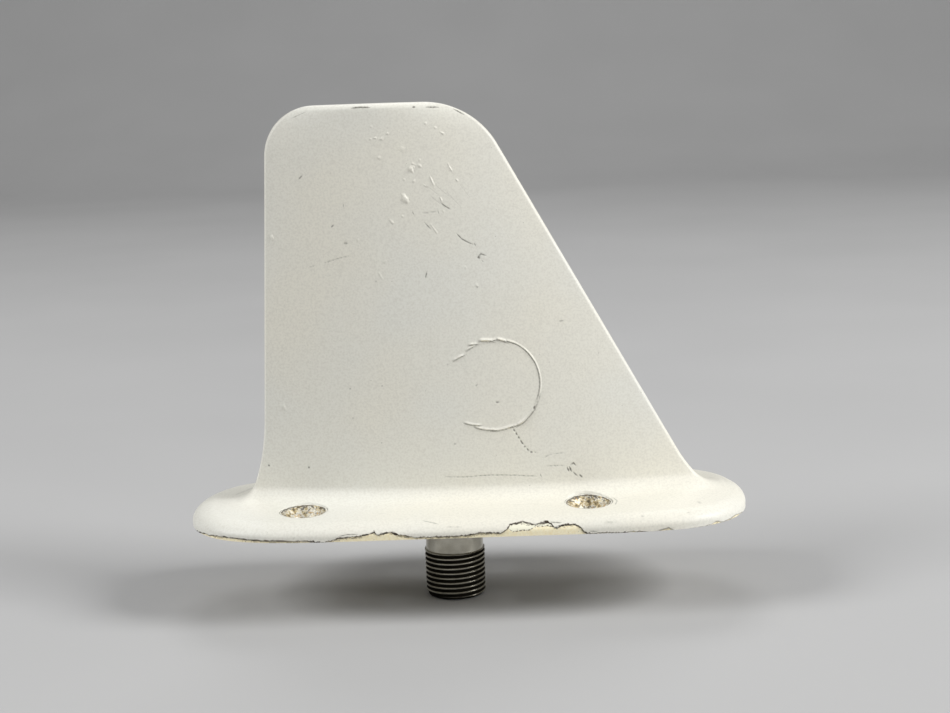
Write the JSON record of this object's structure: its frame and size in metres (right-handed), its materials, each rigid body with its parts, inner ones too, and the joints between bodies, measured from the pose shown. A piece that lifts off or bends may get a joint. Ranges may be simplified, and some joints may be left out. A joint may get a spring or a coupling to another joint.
{
  "type": "aircraft blade antenna",
  "caption": "Swept white blade antenna on an oval screw-down flange, with a threaded coaxial jack underneath, for an aircraft skin.",
  "frame": {"origin": "centre of the four-screw pattern, on the face that lies against the aircraft skin", "axes": "+X forward, towards the swept leading edge; +Z away from the skin, up the blade; the XZ plane is the plane of symmetry"},
  "size_m": [0.101, 0.0386, 0.09],
  "materials": {
    "paint": "worn off-white enamel over cream moulded resin",
    "plate": "bare conversion-coated sheet",
    "bush": "turned, stained and worn",
    "shell": "turned and polished",
    "insulator": "turned fluoropolymer",
    "contact": "gold plated",
    "radiator": "sheet, as cut"
  },
  "bodies": {
    "root": {"radome": "paint", "base_plate": "plate", "bush_aft_left": "bush", "bush_aft_right": "bush", "bush_fwd_left": "bush", "bush_fwd_right": "bush", "connector_shell": "shell", "connector_insulator": "insulator", "centre_contact": "contact", "radiator": "radiator"}
  },
  "joints": []
}
